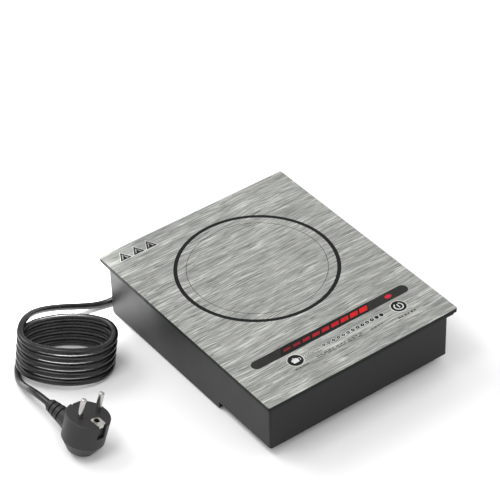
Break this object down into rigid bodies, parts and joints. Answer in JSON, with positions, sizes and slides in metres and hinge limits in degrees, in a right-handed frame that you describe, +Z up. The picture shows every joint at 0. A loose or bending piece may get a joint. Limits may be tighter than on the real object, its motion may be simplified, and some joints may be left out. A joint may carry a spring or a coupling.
{
  "type": "glass-top induction hob",
  "caption": "Compact glass-top hob with touch controls, a stepped flat-sided housing, an internal coil, power board and fan, and a coiled mains lead with an angled plug.",
  "frame": {"origin": "on the resting surface, under the middle of the glass plate", "axes": "+Z up, the touch controls face -Y, +Y to the rear wall, where the mains lead leaves"},
  "size_m": [0.3209, 0.2529, 0.0604],
  "materials": {
    "glass_print": "glossy glass with a brushed grey print",
    "black_flange": "satin black",
    "housing_paint": "satin black paint",
    "seal_silicone": "matt",
    "foot_rubber": "matt",
    "zinc_steel": "bright zinc",
    "black_steel": "black oxide",
    "litz_copper": "enamelled copper",
    "former_plastic": "glass-filled black plastic",
    "ferrite": "matt grey ferrite",
    "mica": "pressed mica",
    "felt": "ceramic felt",
    "sensor_silicone": "white silicone",
    "board_green": "solder mask",
    "chip_epoxy": "moulded epoxy",
    "aluminium_extrusion": "plain extrusion",
    "capacitor_grey": "grey case",
    "capacitor_yellow": "yellow case",
    "capacitor_sleeve": "shrink sleeve",
    "varistor_blue": "dipped blue",
    "fuse_glass": "clear tube",
    "terminal_green": "green moulding",
    "brass": "plain brass",
    "fan_plastic": "black moulding",
    "touch_foam": "conductive foam",
    "lens_clear": "red-tinted light guide",
    "led_red": "lit red",
    "ribbon_grey": "grey flat cable",
    "wire_insulation": "pvc insulation",
    "earth_green": "green and yellow pvc",
    "cord_pvc": "satin black pvc sheath",
    "plug_pvc": "matt black moulded pvc",
    "nickel": "nickel plate"
  },
  "bodies": {
    "chassis": {"aux_transformer": "chip_epoxy", "bezel_frame": "black_flange", "board_screws": "zinc_steel", "bottom_cover": "housing_paint", "bridge_rectifier": "chip_epoxy", "buzzer": "chip_epoxy", "choke_core": "ferrite", "choke_winding": "litz_copper", "clamp_screws": "zinc_steel", "coil_former": "former_plastic", "coil_leads": "litz_copper", "coil_screws": "zinc_steel", "coil_supports": "former_plastic", "coil_terminals": "brass", "control_board": "board_green", "control_screws": "zinc_steel", "cord_clamp": "former_plastic", "cord_gland": "plug_pvc", "cord_inner": "cord_pvc", "cover_screws": "black_steel", "display_lens": "lens_clear", "earth_lug": "brass", "earth_wire": "earth_green", "fan_frame": "fan_plastic", "fan_screws": "zinc_steel", "fan_stator": "litz_copper", "ferrite_bars": "ferrite", "filter_capacitor": "capacitor_yellow", "front_feet": "foot_rubber", "glass_seal": "seal_silicone", "glass_top": "glass_print", "heatsink": "aluminium_extrusion", "heatsink_screws": "zinc_steel", "housing_shell": "housing_paint", "indicator_leds": "led_red", "induction_coil": "litz_copper", "insulation_felt": "felt", "main_board": "board_green", "mains_fuse": "fuse_glass", "mains_wires": "wire_insulation", "mica_sheet": "mica", "plug_body": "plug_pvc", "plug_earth_contacts": "nickel", "plug_pins": "nickel", "plug_relief": "plug_pvc", "power_cord_coil": "cord_pvc", "power_cord_lead": "cord_pvc", "power_cord_tail": "cord_pvc", "power_transistor": "chip_epoxy", "rear_feet": "foot_rubber", "resonant_capacitor": "capacitor_grey", "ribbon_cable": "ribbon_grey", "ribbon_sockets": "terminal_green", "storage_capacitors": "capacitor_sleeve", "suppression_capacitor": "capacitor_yellow", "terminal_block": "terminal_green", "thermal_sensor": "sensor_silicone", "touch_springs": "touch_foam", "varistor": "varistor_blue"},
    "fan_rotor": {"fan_rotor": "fan_plastic"}
  },
  "joints": [
    {"name": "fan_spin", "type": "hinge", "parent": "chassis", "child": "fan_rotor", "pos_m": [0.045, 0.035, 0.0155], "axis": [0, 0, 1], "continuous": true}
  ]
}
